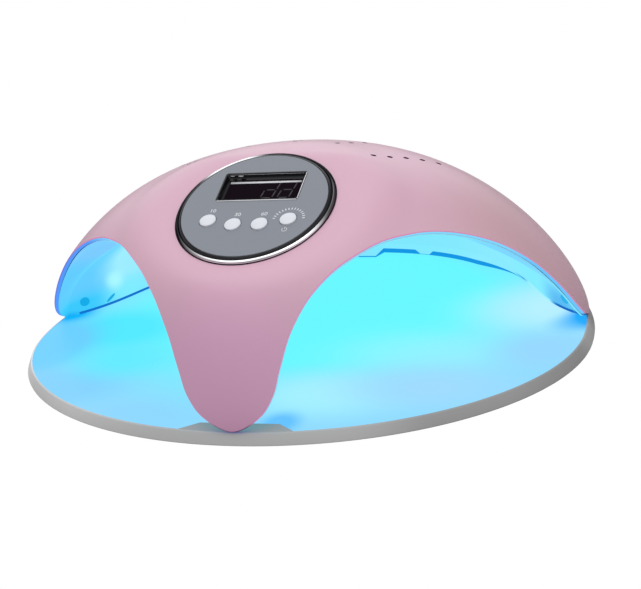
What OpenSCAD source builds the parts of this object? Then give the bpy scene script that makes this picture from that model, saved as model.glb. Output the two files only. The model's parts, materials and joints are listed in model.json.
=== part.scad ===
// Two-hand UV LED nail lamp: a domed head with two hand openings, a round control panel
// and a white reflector liner, standing on a separate tray with a bright reflecting deck.
// Millimetres. +Z is up, the control panel and the front foot face -Y.

/* [Dome] */
// Half of the dome's width, left to right
dome_half_width = 175; // [140:0.5:210]
// Half of the dome's depth, front to back
dome_half_depth = 131; // [105:0.5:160]
// Rise of the dome above the deck
dome_rise = 110.8; // [85:0.1:135]
// Squareness of the dome's outline in plan (2 is an ellipse)
plan_power = 2.04; // [2:0.01:3]
// Fullness of the dome's sides
side_power = 2.454; // [1.8:0.001:4]
// Fullness of the dome's crown
crown_power = 1.449; // [1.2:0.001:2.5]
// Thickness of the outer shell
shell_wall = 2.6; // [1.6:0.1:4]
// Radius of a vent hole
vent_radius = 1.65; // [1:0.05:3]
// Spacing of the vent holes along a row
vent_pitch = 9.9; // [6:0.1:14]

/* [Base] */
// Height of the deck's upper face above the table
deck_top = 7.05; // [5:0.05:12]
// Half of the base's width at deck level
base_half_width = 176.5; // [140:0.5:215]
// Reach of the base in front of its widest line, at deck level
base_front = 117.4; // [90:0.1:150]
// Reach of the base behind its widest line, at deck level
base_rear = 142; // [100:0.1:170]
// Distance of the base's widest line from the middle, towards the front
base_shift = 12.3; // [0:0.1:25]
// Spread of the tray's skirt from deck level down to the table
base_flare = 3.4; // [0:0.1:8]
// Thickness of the reflecting deck plate
deck_thick = 1.6; // [1:0.1:3]
// Travel of the head when it is lifted off the base
lift_travel = 60; // [30:1:100]

/* [Liner] */
// Half width of the hand space
cavity_half_width = 139; // [110:0.5:165]
// Half depth of the hand space
cavity_half_depth = 114; // [85:0.5:125]
// Height of the hand space above the deck
cavity_rise = 80; // [55:0.5:86]
// Squareness of the hand space in plan
cavity_plan_power = 2.3; // [2:0.05:3]
// Thickness of the liner
liner_wall = 1.6; // [1:0.1:3]
// Length over which the liner runs in from the opening's rim
lip_run = 30; // [15:1:50]

/* [Control panel] */
// Distance of the panel's centre in front of the middle
panel_shift = 42.9; // [20:0.1:60]
// Height of the panel's centre above the table
panel_height = 107.9; // [90:0.1:130]
// Forward tilt of the panel
panel_tilt = 17.4; // [5:0.1:35]
// Outer radius of the chrome ring
ring_radius = 48.4; // [35:0.1:60]
// Width of the chrome ring's slope
ring_width = 4.4; // [3:0.1:8]
// Rise of the panel's face above the ring's foot
ring_rise = 3; // [1.5:0.1:5]
// Length over which the shell rises to the ring
boss_run = 45; // [10:1:45]
// Width of the display frame
display_width = 51.5; // [35:0.5:60]
// Height of the display frame
display_height = 25; // [15:0.5:30]
// Distance of the display's centre above the panel's centre
display_rise = 16.2; // [8:0.1:22]
// Depth of the display window below the panel's face
display_depth = 4.4; // [2:0.1:6]
// Radius of a button
button_radius = 4.9; // [3:0.05:7]
// Travel of a button
button_travel = 0.6; // [0.3:0.05:1]

/* [Power] */
// Height of the power socket's axis above the table
jack_height = 24; // [16:0.5:34]
// Radius of the socket's bore
jack_bore = 2.75; // [2:0.05:3.5]
// Radius of the socket's centre pin
jack_pin = 1.05; // [0.6:0.05:1.5]

/* [Hidden] */

// surfaces: columns round the dome, rows from the rim inwards
knot_steps = 3;
rear_steps = 22;
shell_rows = 10;
liner_rows = 10;
outline_steps = 144;
rim_gap = 0.4;
foot_gap = 0.1;
foot_z = deck_top + foot_gap;
nudge = 0.01;
plate_thick = 2;
plate_under = -plate_thick;
ring_seat = -ring_rise;
ring_gap = 0.1;
hole_radius = ring_radius - 2.4;
board_top = -8;
board_thick = 1.6;
switch_body = 1.7;
cap_height = 0.7;

// hand opening's rim on one side: [angle round the dome, height above the deck],
// from the tip of the front foot, over the crest, to the end of the dome
rim_knots = [[-95.5, 8.5], [-90, 0.7], [-84.5, 8.5], [-81.2, 20], [-79, 33], [-75.5, 48.5],
    [-69.3, 63.8], [-60, 75.6], [-46, 82.7], [-32, 82.5], [-20.4, 76], [-11.2, 64],
    [-5.6, 48.5], [-2.6, 32], [-0.2, 16], [2.6, 6], [6.5, 0.3], [10.3, 0.1]];

button_spots = [[-24.7, -13.6], [-8.2, -17.3], [8.2, -17.3], [24.7, -13.6]];
board_spots = [[-29, -3], [29, -3], [-28, 24], [28, 24]];
// lamps on the right half: [angle, share of the way from the rim to the panel's axis]
lamp_spots = [[32, 0.26], [62, 0.26], [86, 0.42], [20, 0.5], [45, 0.5], [70, 0.62],
    [2, 0.6], [40, 0.74], [-44, 0.8]];
magnet_spots = [[-153.5, 38.5], [153.5, 38.5]];

function clamp01(t) = max(0, min(1, t));
function smooth(t) = let(c = clamp01(t)) c * c * (3 - 2 * c);
function mix(a, b, t) = a + (b - a) * t;
function unit(v) = v / norm(v);
function powered(d, n) = pow(pow(abs(d[0]), n) + pow(abs(d[1]), n), 1 / n);
function disc(a, r) = r * [cos(a), sin(a)] / powered([cos(a), sin(a)], plan_power);
function rim_share(h) = pow(1 - pow(max(0, h) / dome_rise, crown_power), 1 / side_power);
function crown(r) = pow(max(0, 1 - pow(min(1, r), side_power)), 1 / crown_power);

// smooth curve through four neighbouring knots
function through(a, b, c, d, t) =
    0.5 * (2 * b + (c - a) * t + (2 * a - 5 * b + 4 * c - d) * t * t
    + (3 * b - a - 3 * c + d) * t * t * t);
right_rim = concat(
    [for (k = [1 : len(rim_knots) - 3], s = [0 : knot_steps - 1])
        through(rim_knots[k - 1], rim_knots[k], rim_knots[k + 1], rim_knots[k + 2], s / knot_steps)],
    [for (s = [0 : rear_steps]) [mix(6.5, 90, s / rear_steps), foot_gap]]);
rim = concat(right_rim,
    [for (k = [len(right_rim) - 2 : -1 : 1]) [180 - right_rim[k][0], right_rim[k][1]]]);
columns = len(rim);

// the plane of the ring's foot and the rise of the shell towards it
foot_shift = panel_shift + ring_seat * sin(panel_tilt);
// behind the ring the shell levels off
level_from = ring_radius * cos(panel_tilt) - foot_shift;
function panel_distance(x, y) = norm([x, (y + foot_shift) / cos(panel_tilt)]);
function dome_point(d) =
    let(x = d[0] * dome_half_width, y = d[1] * dome_half_depth,
        b = 1 - smooth((panel_distance(x, y) - ring_radius) / boss_run),
        z = deck_top + dome_rise * crown(powered(d, plan_power)),
        seat = panel_height + ring_seat / cos(panel_tilt)
            + (min(y, level_from) + panel_shift) * tan(panel_tilt))
    [x, y, mix(z, seat, b)];
function edge_disc(e) = disc(e[0], rim_share(e[1]));
function to_disc(p) = [p[0] / dome_half_width, p[1] / dome_half_depth];
axis_disc = [0, -foot_shift / dome_half_depth];
// place on a circle of radius r round the panel's axis, in line with a place on the rim
function circle_disc(e, r) =
    let(p = edge_disc(e), x = p[0] * dome_half_width, y = p[1] * dome_half_depth + foot_shift,
        a = atan2(y / cos(panel_tilt), x))
    to_disc([r * cos(a), r * sin(a) * cos(panel_tilt) - foot_shift]);
function inward(s) = 1 - cos(90 * s);
// rows 0 to shell_rows - 1 run from the rim to the ring's foot, the last one is the hole's edge
function shell_point(e, k) = dome_point(k == shell_rows ? circle_disc(e, hole_radius)
    : mix(edge_disc(e), circle_disc(e, ring_radius + nudge), inward(k / (shell_rows - 1))));

// the hand space, and the liner that runs from the rim into it
function cavity_point(d) =
    let(r = powered(d, plan_power), w = r / max(nudge / 100, powered(d, cavity_plan_power)))
    [d[0] * w * cavity_half_width, d[1] * w * cavity_half_depth,
        deck_top + cavity_rise * sqrt(max(0, 1 - pow(min(1, r), 4)))];
function rim_normal(e) =
    let(d = edge_disc(e), r = powered(d, plan_power),
        nx = sign(d[0]) * pow(abs(d[0]) / r, plan_power - 1) / dome_half_width,
        ny = sign(d[1]) * pow(abs(d[1]) / r, plan_power - 1) / dome_half_depth,
        nz = crown_power * pow(max(0, e[1]) / dome_rise, crown_power - 1) / dome_rise)
    unit([side_power * pow(r, side_power - 1) * nx, side_power * pow(r, side_power - 1) * ny, nz]);
// how far the liner has left the shell for the hand space: by its run from the rim, and at
// the rear by the angle from the end of the opening
rear_half = 84;
rear_blend = 10;
function liner_share(e, run) =
    1 - (1 - smooth(run / lip_run)) * exp(-max(0, rear_half - abs(90 - e[0])) / rear_blend);
function liner_point(e, s) =
    let(start = edge_disc(e), d = mix(start, axis_disc, inward(s)),
        run = norm([(d[0] - start[0]) * dome_half_width, (d[1] - start[1]) * dome_half_depth]),
        w = liner_share(e, run),
        near = dome_point(d)
            - (shell_wall + rim_gap + liner_wall) * rim_normal(e) * (1 - smooth(run / lip_run)),
        far = cavity_point(d))
    [mix(near[0], far[0], w), mix(near[1], far[1], w), max(foot_z, mix(near[2], far[2], w))];
function liner_normal(e, s) =
    let(a = liner_point(e, s), b = liner_point(e, s + 0.01), c = liner_point([e[0] + 0.5, e[1]], s))
    unit(cross(c - a, b - a));

// closed skin between an outer and an inner grid of points, open at the rim and at the top,
// or closed over at the top when tops gives the two middle points
function grid_normal(g, i, k) =
    let(n = len(g), m = len(g[0]), a = g[(i + 1) % n][k] - g[(i + n - 1) % n][k],
        b = g[i][min(m - 1, k + 1)] - g[i][max(0, k - 1)])
    unit(cross(a, b));
module skin(outer, inner, tops = []) {
    n = len(outer);
    m = len(outer[0]);
    size = n * m;
    points = concat([for (c = outer, p = c) p], [for (c = inner, p = c) p]);
    quads = [for (i = [0 : n - 1], k = [0 : m - 2])
        let(j = (i + 1) % n) [i * m + k, j * m + k, j * m + k + 1, i * m + k + 1]];
    outside = [for (q = quads, t = [[q[0], q[2], q[1]], [q[0], q[3], q[2]]]) t];
    inside = [for (q = quads, t = [[q[0], q[1], q[2]], [q[0], q[2], q[3]]]) [for (v = t) v + size]];
    open = len(tops) == 0;
    ends = [for (i = [0 : n - 1])
        let(j = (i + 1) % n, a = i * m, b = j * m, c = a + m - 1, d = b + m - 1,
            rim_faces = [[a, b, b + size], [a, b + size, a + size]],
            hole_faces = [[c, d + size, d], [c, c + size, d + size]],
            top_faces = [[c, 2 * size, d], [d + size, 2 * size + 1, c + size]])
        each concat(rim_faces, open ? hole_faces : top_faces)];
    polyhedron(concat(points, tops), concat(outside, inside, ends), convexity = 10);
}

module in_panel() {
    translate([0, -panel_shift, panel_height]) rotate([panel_tilt, 0, 0]) children();
}
// place children with +Z along a direction
module aim(p, v) {
    translate(p) rotate([0, acos(v[2] / norm(v)), atan2(v[1], v[0])]) children();
}
module rounded_plate(w, d, h, r) {
    corners = [[1, 1, 0], [-1, 1, 90], [-1, -1, 180], [1, -1, 270]];
    linear_extrude(h) polygon([for (c = corners, a = [0 : 15 : 90])
        [c[0] * (w / 2 - r) + r * cos(c[2] + a), c[1] * (d / 2 - r) + r * sin(c[2] + a)]]);
}
// insulated wire of radius r along a path, as one closed tube
wire_sides = 8;
module lead(path, r) {
    n = len(path);
    m = wire_sides;
    tilt = [0.31, 0.52, 0.79];
    rings = [for (k = [0 : n - 1])
        let(t = unit(path[min(n - 1, k + 1)] - path[max(0, k - 1)]),
            u = unit(cross(t, tilt)), v = cross(t, u))
        each [for (j = [0 : m - 1]) path[k] + r * (cos(360 * j / m) * u + sin(360 * j / m) * v)]];
    sides = [for (k = [0 : n - 2], j = [0 : m - 1])
        let(a = k * m + j, b = k * m + (j + 1) % m) each [[a, a + m, b + m], [a, b + m, b]]];
    ends = [[for (j = [0 : m - 1]) j], [for (j = [m - 1 : -1 : 0]) (n - 1) * m + j]];
    polyhedron(rings, concat(sides, ends));
}

// base
function base_outline(grow) = [for (k = [0 : outline_steps - 1]) let(a = 360 * k / outline_steps)
    [(base_half_width + grow) * cos(a),
        -base_shift + ((sin(a) < 0 ? base_front : base_rear) + grow) * sin(a)]];
// the raised land of the tray under the front foot, let into the deck's front edge
land_rear = 24.5;
land_depth = 10.9;
land_slope = 1.47;
module land_shape(grow) {
    front = base_front + base_shift;
    past = 8;
    wide = land_rear + land_slope * (land_depth + past) + grow;
    polygon([[-wide, -front - past], [wide, -front - past],
        [land_rear + grow, -front + land_depth + grow], [-land_rear - grow, -front + land_depth + grow]]);
}
module deck_shape(inset, grow) {
    difference() {
        polygon(base_outline(-inset));
        land_shape(grow);
    }
}
module base_tray() {
    low = base_outline(base_flare);
    high = base_outline(0);
    under = 0.8;
    n = outline_steps;
    floor_z = deck_top - deck_thick;
    color([0.72, 0.73, 0.75]) resize([0, 0, 0]) difference() {
        polyhedron(concat([for (p = low) [p[0], p[1], under]], [for (p = high) [p[0], p[1], deck_top]]),
            concat([[for (k = [0 : n - 1]) k]], [[for (k = [n - 1 : -1 : 0]) n + k]],
            [for (k = [0 : n - 1]) let(j = (k + 1) % n) each [[k, n + k, n + j], [k, n + j, j]]]));
        translate([0, 0, floor_z]) linear_extrude(deck_thick + 1) deck_shape(0.8, 0);
        linear_extrude(floor_z - 2) polygon(base_outline(-5));
    }
}
module base_deck() {
    color([0.86, 0.93, 0.97]) translate([0, 0, deck_top - deck_thick])
        linear_extrude(deck_thick) deck_shape(0.95, 0.15);
}
module base_feet() {
    color([0.15, 0.15, 0.16]) for (x = [-1, 1], p = [[118, -52], [112, 72]])
        translate([x * p[0], p[1], 0]) cylinder(r = 8, h = deck_top - deck_thick - 2, $fn = 48);
}
module base_magnets() {
    color([0.6, 0.6, 0.62]) for (p = concat(magnet_spots, [[0, -118]]))
        translate([p[0], p[1], deck_top - deck_thick - 4]) cylinder(r = 5, h = 2, $fn = 48);
}

// head
shell_outer = [for (e = rim) [for (k = [0 : shell_rows]) shell_point(e, k)]];
shell_normals = [for (i = [0 : columns - 1]) [for (k = [0 : shell_rows])
    k == 0 ? rim_normal(rim[i]) : grid_normal(shell_outer, i, k)]];
shell_inner = [for (i = [0 : columns - 1]) [for (k = [0 : shell_rows])
    let(p = shell_outer[i][k] - shell_wall * shell_normals[i][k]) [p[0], p[1], max(foot_z, p[2])]]];
vent_rows = [[-57, 11.6], [-29, 29.8], [0, 35], [29, 29.8], [57, 11.6]];
vent_lines = [[-88.4, 36], [-46, 54], [0, 75], [46, 54], [88.4, 36]];
module outer_shell() {
    color([0.82, 0.67, 0.72]) resize([0, 0, 0]) difference() {
        skin(shell_outer, shell_inner);
        for (r = [0 : 4], k = [0 : 4]) {
            v = unit(vent_lines[r] - vent_rows[r]);
            p = vent_rows[r] + v * vent_pitch * k;
            translate([p[0], p[1], 80]) cylinder(r = vent_radius, h = 60, $fn = 12);
        }
        aim([0, 115, jack_height], [0, 1, 0]) cylinder(r = 6.6, h = 30, $fn = 40);
    }
}

liner_last = 0.97;
liner_inner = [for (e = rim) [for (k = [0 : liner_rows]) liner_point(e, liner_last * k / liner_rows)]];
liner_outer = [for (i = [0 : columns - 1]) [for (k = [0 : liner_rows])
    let(n = k == 0 ? rim_normal(rim[i]) : grid_normal(liner_inner, i, k),
        p = liner_inner[i][k] + liner_wall * n)
    [p[0], p[1], max(foot_z, p[2])]]];
liner_crown = cavity_point(axis_disc);
block_half = 18;
block_front = 100;
block_top = 38;
lens_radius = 2.9;
// place children on the liner's inner face, +Z pointing outwards, on the right (1) or left (-1)
module on_liner(q, side) {
    e = [q[0], foot_gap];
    p = liner_point(e, q[1]);
    v = liner_normal(e, q[1]);
    aim([side * p[0], p[1], p[2]], [side * v[0], v[1], v[2]]) children();
}
module inner_liner() {
    pocket = block_half - liner_wall;
    color([0.9, 0.95, 0.98]) resize([0, 0, 0]) difference() {
        union() {
            skin(liner_outer, liner_inner, [liner_crown + [0, 0, liner_wall], liner_crown]);
            translate([-block_half, block_front, foot_z]) cube([2 * block_half, 15, block_top - foot_z]);
        }
        translate([-pocket, block_front + liner_wall, foot_z - 1])
            cube([2 * pocket, 22, block_top - foot_z + 1 - liner_wall]);
        for (side = [-1, 1], q = lamp_spots) on_liner(q, side)
            translate([0, 0, -2]) cylinder(r = lens_radius + 0.1, h = 6, $fn = 12);
        for (side = [-1, 1]) on_liner(sensor_spot, side)
            translate([0, 0, -2]) cylinder(r = sensor_radius + 0.1, h = 6, $fn = 16);
    }
}
sensor_spot = [9, 0.075];
sensor_radius = 3.2;
module led_lenses(side) {
    color([0.85, 0.95, 1]) for (q = lamp_spots) on_liner(q, side) {
        cylinder(r = lens_radius, h = lamp_stem, $fn = 32);
        intersection() {
            sphere(r = lens_radius, $fn = 32);
            translate([0, 0, -lens_radius / 2])
                cube([2 * lens_radius, 2 * lens_radius, lens_radius], center = true);
        }
    }
}
lamp_stem = liner_wall + 1.4;
lamp_board = 1;
module led_boards(side) {
    color([0.93, 0.94, 0.92]) for (q = lamp_spots) on_liner(q, side)
        translate([0, 0, lamp_stem]) cylinder(r = 5.5, h = lamp_board, $fn = 32);
}
// place beside a lamp, off to one side along the liner and out from its inner face
function beside_lamp(q, off, out) =
    let(e = [q[0], foot_gap], v = liner_normal(e, q[1]), t = unit(cross(v, [0, 0, 1])))
    liner_point(e, q[1]) + off * t + out * v;
module led_leads(side) {
    top = lamp_stem + lamp_board + 0.02;
    off = 3;
    color([0.75, 0.2, 0.18]) for (link = [[0, 3], [3, 6], [1, 4], [4, 7], [2, 5]]) {
        a = lamp_spots[link[0]];
        b = lamp_spots[link[1]];
        path = [beside_lamp(a, off, top), beside_lamp(a, off, top + 1.5),
            beside_lamp(mix(a, b, 0.5), 0, top + 2),
            beside_lamp(b, -off, top + 1.5), beside_lamp(b, -off, top)];
        lead([for (p = path) [side * p[0], p[1], p[2]]], 0.6);
    }
}
module sensor_window(side) {
    color([0.08, 0.1, 0.2]) on_liner(sensor_spot, side)
        translate([0, 0, -0.5]) cylinder(r = sensor_radius, h = liner_wall + 1, $fn = 40);
}
module sensor_board(side) {
    color([0.12, 0.4, 0.25]) on_liner(sensor_spot, side) translate([0, 0, liner_wall + 0.5]) {
        translate([-4, -4, 0]) cube([8, 8, 1]);
        translate([-1.5, -1.5, 1]) cube([3, 3, 1.2]);
    }
}
foot_thick = 1.6;
module foot_plate() {
    // closes the space between shell and liner along the rear of the head
    reach = 14;
    far = 180 - reach;
    edge = 0.5;
    out = [for (a = [reach : 4 : far]) let(d = disc(a, rim_share(foot_thick)))
        [d[0] * (dome_half_width - shell_wall - edge), d[1] * (dome_half_depth - shell_wall - edge)]];
    back = [for (a = [far : -4 : reach])
        let(p = liner_point([a, foot_gap], 0), s = (liner_wall + edge) / norm([p[0], p[1]]))
        [p[0] * (1 + s), p[1] * (1 + s)]];
    slot = block_half + 0.3;
    color([0.8, 0.82, 0.85]) translate([0, 0, foot_z]) linear_extrude(foot_thick) difference() {
        polygon(concat(out, back));
        translate([-slot, 0]) square([2 * slot, block_front + 20]);
        for (p = magnet_spots) translate(p) circle(r = 6.1, $fn = 48);
    }
}
module head_magnets() {
    color([0.6, 0.6, 0.62]) for (p = magnet_spots)
        translate([p[0], p[1], foot_z]) cylinder(r = 6, h = 3, $fn = 48);
}

// control panel, in the panel's own axes
module panel_ring() {
    // a rounded slope from the shell up to the plate's edge, with a sleeve and a ledge inside
    inner = ring_radius - ring_width;
    ledge = inner - 2.5;
    sleeve = hole_radius - 0.5;
    low = plate_under - 2.2;
    seat = ring_seat + ring_gap;
    color([0.82, 0.84, 0.86]) in_panel() rotate_extrude($fn = 120) polygon(concat(
        [[ledge, low], [sleeve, low], [sleeve, seat]],
        [for (a = [0 : 10 : 90]) [inner + ring_width * cos(a), seat + (ring_rise - ring_gap - 0.2) * sin(a)]],
        [[inner, plate_under], [ledge, plate_under]]));
}
module panel_plate() {
    color([0.56, 0.6, 0.64]) in_panel() {
        difference() {
            translate([0, 0, plate_under])
                cylinder(r = ring_radius - ring_width - ring_gap, h = plate_thick, $fn = 120);
            translate([-display_width / 2 + 0.8, display_rise - display_height / 2 + 0.8, plate_under - 1])
                cube([display_width - 1.6, display_height - 1.6, plate_thick + 2]);
            for (p = button_spots) translate([p[0], p[1], plate_under - 1])
                cylinder(r = button_radius + 0.35, h = plate_thick + 2, $fn = 64);
        }
        for (p = board_spots) translate([p[0], p[1], board_top]) difference() {
            cylinder(r = 2.4, h = plate_under - board_top, $fn = 32);
            translate([0, 0, -1]) cylinder(r = 0.95, h = 5, $fn = 24);
        }
    }
}
module display_bezel() {
    // sloping frame from the panel's face down to the window
    w = display_width / 2;
    h = display_height / 2;
    deep = -display_depth;
    lip = 1.4;
    color([0.09, 0.09, 0.1]) in_panel() translate([0, display_rise, 0]) difference() {
        union() {
            rounded_plate(2 * w, 2 * h, 0.2, 2.5);
            translate([0, 0, deep]) rounded_plate(2 * w - 2, 2 * h - 2, display_depth, 2);
        }
        translate([0, 0, deep - 1]) rounded_plate(2 * w - 4 * lip, 2 * h - 4 * lip, 12, 1.4);
        translate([0, 0, deep + 1.4]) rounded_plate(2 * w - 3 * lip, 2 * h - 3 * lip, 12, 1.6);
        translate([0, 0, -1]) rounded_plate(2 * w - 2 * lip, 2 * h - 2 * lip, 12, 1.8);
    }
}
window_w = display_width - 6;
window_h = display_height - 6;
module display_window() {
    color([0.06, 0.06, 0.08]) in_panel() translate([0, display_rise, -display_depth + 0.2])
        rounded_plate(window_w, window_h, 1, 1.2);
}
module display_module() {
    under = -display_depth;
    color([0.2, 0.2, 0.22]) in_panel() translate([0, display_rise, board_top])
        translate([-display_width / 2 + 2, -display_height / 2 + 2, 0])
            cube([display_width - 4, display_height - 4, under - board_top]);
}
board_w = 64;
board_h = 50;
module control_board() {
    color([0.1, 0.36, 0.24]) in_panel() translate([0, 3, board_top - board_thick]) difference() {
        translate([-board_w / 2, -board_h / 2, 0]) cube([board_w, board_h, board_thick]);
        for (p = board_spots)
            translate([p[0], p[1] - 3, -1]) cylinder(r = 1.3, h = 4, $fn = 24);
    }
}
module board_screws() {
    head = 1.2;
    color([0.7, 0.71, 0.73]) in_panel() for (p = board_spots)
        translate([p[0], p[1], board_top - board_thick - head]) {
            cylinder(r = 2.1, h = head, $fn = 32);
            cylinder(r = 0.9, h = head + 4.2, $fn = 24);
        }
}
module board_chips() {
    low = board_top - board_thick;
    color([0.1, 0.1, 0.11]) in_panel() {
        translate([-6, -4, low - 1.4]) cube([12, 9, 1.4]);
        translate([-22, 0, low - 1.4]) cube([8, 5, 1.4]);
        translate([-6, 14, low - 1.6]) cube([12, 5, 1.6]);
    }
}
module tact_switches() {
    color([0.2, 0.2, 0.22]) in_panel() for (p = button_spots)
        translate([p[0], p[1], board_top]) difference() {
            translate([-3, -3, 0]) cube([6, 6, switch_body]);
            translate([0, 0, 0.4]) cylinder(r = 2.1, h = 4, $fn = 32);
        }
}
flange_top = plate_under - 0.05;
button_rise = 0.8;
module button(k) {
    p = button_spots[k];
    low = flange_top - 1;
    dome_r = (button_radius * button_radius + cap_height * cap_height) / (2 * cap_height);
    color([0.88, 0.89, 0.9]) in_panel() translate([p[0], p[1], 0]) {
        translate([0, 0, low]) cylinder(r = button_radius, h = button_rise - low, $fn = 64);
        intersection() {
            translate([0, 0, button_rise + cap_height - dome_r]) sphere(r = dome_r, $fn = 96);
            translate([0, 0, button_rise]) cylinder(r = button_radius, h = 2, $fn = 64);
        }
        translate([0, 0, low]) cylinder(r = button_radius + 1.2, h = 1, $fn = 64);
        translate([0, 0, low - 1.2]) cylinder(r = 2, h = 1.2, $fn = 32);
    }
}
module plunger(k) {
    p = button_spots[k];
    high = flange_top - 2.2;
    color([0.3, 0.3, 0.32]) in_panel() translate([p[0], p[1], board_top + 1.3])
        cylinder(r = 1.7, h = high - board_top - 1.3, $fn = 32);
}

// power socket at the rear
jack_face = 125.6;
module dc_jack() {
    deep = 12.6;
    low = jack_face - deep;
    color([0.12, 0.12, 0.13]) {
        difference() {
            union() {
                translate([-4.5, low, jack_height - 5.5]) cube([9, deep - 3.6, 11]);
                aim([0, low, jack_height], [0, 1, 0]) cylinder(r = 4.4, h = deep, $fn = 48);
            }
            aim([0, low + 3, jack_height], [0, 1, 0]) cylinder(r = jack_bore, h = deep, $fn = 48);
        }
        aim([0, low + 2, jack_height], [0, 1, 0]) cylinder(r = jack_pin, h = deep - 3.4, $fn = 32);
    }
}
module jack_collar() {
    color([0.16, 0.16, 0.17]) aim([0, jack_face - 3.4, jack_height], [0, 1, 0]) difference() {
        cylinder(r = 6.4, h = 5.2, $fn = 64);
        translate([0, 0, -1]) cylinder(r = 4.45, h = 8, $fn = 64);
    }
}
module jack_board() {
    color([0.1, 0.36, 0.24]) translate([-10, jack_face - 12.6 - 1.6, 12]) cube([20, 1.6, 20]);
}
module jack_lead() {
    route = [[0, -22.5, 97], [0, 40, 93], [0, 84, 83], [0, 103, 60], [0, 109.5, 50], [0, 116, 42.5],
        [0, 116.2, 36.5], [0, 113.4, 31]];
    color([0.75, 0.2, 0.18]) for (x = [-1.5, 1.5])
        lead([for (p = route) p + [x, 0, 0]], 0.7);
}

base_tray();
base_deck();
base_feet();
base_magnets();
outer_shell();
inner_liner();
foot_plate();
head_magnets();
led_lenses(-1);  // led_lenses_left
led_lenses(1);  // led_lenses_right
led_boards(-1);  // led_boards_left
led_boards(1);  // led_boards_right
led_leads(-1);  // led_leads_left
led_leads(1);  // led_leads_right
sensor_window(-1);  // sensor_window_left
sensor_window(1);  // sensor_window_right
sensor_board(-1);  // sensor_board_left
sensor_board(1);  // sensor_board_right
panel_ring();
panel_plate();
display_bezel();
display_window();
display_module();
control_board();
board_screws();
board_chips();
tact_switches();
button(0);  // button_1
button(1);  // button_2
button(2);  // button_3
button(3);  // button_4
plunger(0);  // plunger_1
plunger(1);  // plunger_2
plunger(2);  // plunger_3
plunger(3);  // plunger_4
dc_jack();
jack_collar();
jack_board();
jack_lead();
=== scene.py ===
import json
import math

import bmesh
import bpy
import numpy as np
from mathutils import Matrix, Vector


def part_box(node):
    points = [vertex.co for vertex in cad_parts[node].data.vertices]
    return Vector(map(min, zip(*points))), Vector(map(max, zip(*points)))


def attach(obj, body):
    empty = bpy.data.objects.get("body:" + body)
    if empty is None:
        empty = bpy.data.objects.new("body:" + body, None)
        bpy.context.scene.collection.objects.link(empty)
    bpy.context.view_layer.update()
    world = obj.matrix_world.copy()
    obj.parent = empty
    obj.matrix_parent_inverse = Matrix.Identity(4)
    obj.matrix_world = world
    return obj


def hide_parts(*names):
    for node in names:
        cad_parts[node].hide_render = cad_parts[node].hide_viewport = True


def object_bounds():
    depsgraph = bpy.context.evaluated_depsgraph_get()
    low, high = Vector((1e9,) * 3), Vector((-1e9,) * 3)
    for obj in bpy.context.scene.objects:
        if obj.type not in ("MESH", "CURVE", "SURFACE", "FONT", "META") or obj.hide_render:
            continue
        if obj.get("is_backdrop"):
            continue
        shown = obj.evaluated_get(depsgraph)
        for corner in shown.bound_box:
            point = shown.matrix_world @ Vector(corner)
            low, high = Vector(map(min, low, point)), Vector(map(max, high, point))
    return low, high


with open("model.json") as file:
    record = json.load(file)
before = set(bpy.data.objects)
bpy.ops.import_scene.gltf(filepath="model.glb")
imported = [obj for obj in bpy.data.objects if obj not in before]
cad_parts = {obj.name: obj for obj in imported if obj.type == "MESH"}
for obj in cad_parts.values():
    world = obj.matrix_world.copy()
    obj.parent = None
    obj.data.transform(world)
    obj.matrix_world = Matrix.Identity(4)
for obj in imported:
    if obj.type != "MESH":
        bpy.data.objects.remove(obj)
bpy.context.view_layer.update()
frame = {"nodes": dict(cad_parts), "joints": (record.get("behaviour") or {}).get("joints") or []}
MM = 0.001

# ---------------------------------------------------------------- the object's shape, metres
DOME_HALF = np.array([0.175, 0.131])
DOME_RISE = 0.1108
PLAN_POWER, SIDE_POWER, CROWN_POWER = 2.04, 2.454, 1.449
SHELL_WALL = 0.0026
CAVITY_HALF = np.array([0.139, 0.114])
CAVITY_RISE = 0.080
CAVITY_POWER = 2.3
LIP_RUN = 0.030
RIM_GAP = 0.0004
LINER_SKIN = 0.0009
FOOT_GAP = 0.0001
BOSS_RUN = 0.045
RING_RADIUS, RING_WIDTH, RING_SEAT = 0.0484, 0.0044, -0.003
HOLE_RADIUS = 0.046
PLATE_THICK = 0.002
DISPLAY_RISE, DISPLAY_SIZE = 0.0162, (0.0515, 0.025)
WINDOW_DEPTH = 0.0037
# the hand opening's rim: angle round the dome in degrees, height above the deck in metres
RIM_KNOTS = np.array([
    (-95.5, 8.5), (-90, 0.7), (-84.5, 8.5), (-81.2, 20), (-79, 33), (-75.5, 48.5), (-69.3, 63.8),
    (-60, 75.6), (-46, 82.7), (-32, 82.5), (-20.4, 76), (-11.2, 64), (-5.6, 48.5), (-2.6, 32),
    (-0.2, 16), (2.6, 6), (6.5, 0.3), (10.3, 0.1)]) * (1, MM)
VENT_STARTS = np.array([(-57, 11.6), (-29, 29.8), (0, 35), (29, 29.8), (57, 11.6)]) * MM
VENT_AIMS = np.array([(-88.4, 36), (-46, 54), (0, 75), (46, 54), (88.4, 36)]) * MM
VENT_PITCH, VENT_RADIUS, VENTS_PER_ROW = 0.0099, 0.00165, 5

deck_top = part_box("base_deck")[1].z
deck_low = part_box("base_deck")[0].z
foot_z = deck_top + FOOT_GAP
press = next(j for j in frame["joints"] if j["name"] == "button_1_press")
normal = -Vector(press["axis"]).normalized()
up_panel = Vector((0, normal.z, -normal.y))
tilt = math.atan2(-normal.y, normal.z)


def middle(node):
    low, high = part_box(node)
    return (low + high) / 2


panel_centre = middle("display_window") - DISPLAY_RISE * up_panel + WINDOW_DEPTH * normal
foot_centre = panel_centre + RING_SEAT * normal
PANEL = Matrix.Translation(panel_centre) @ Matrix.Rotation(tilt, 4, "X")
TAN, COS = math.tan(tilt), math.cos(tilt)


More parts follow.
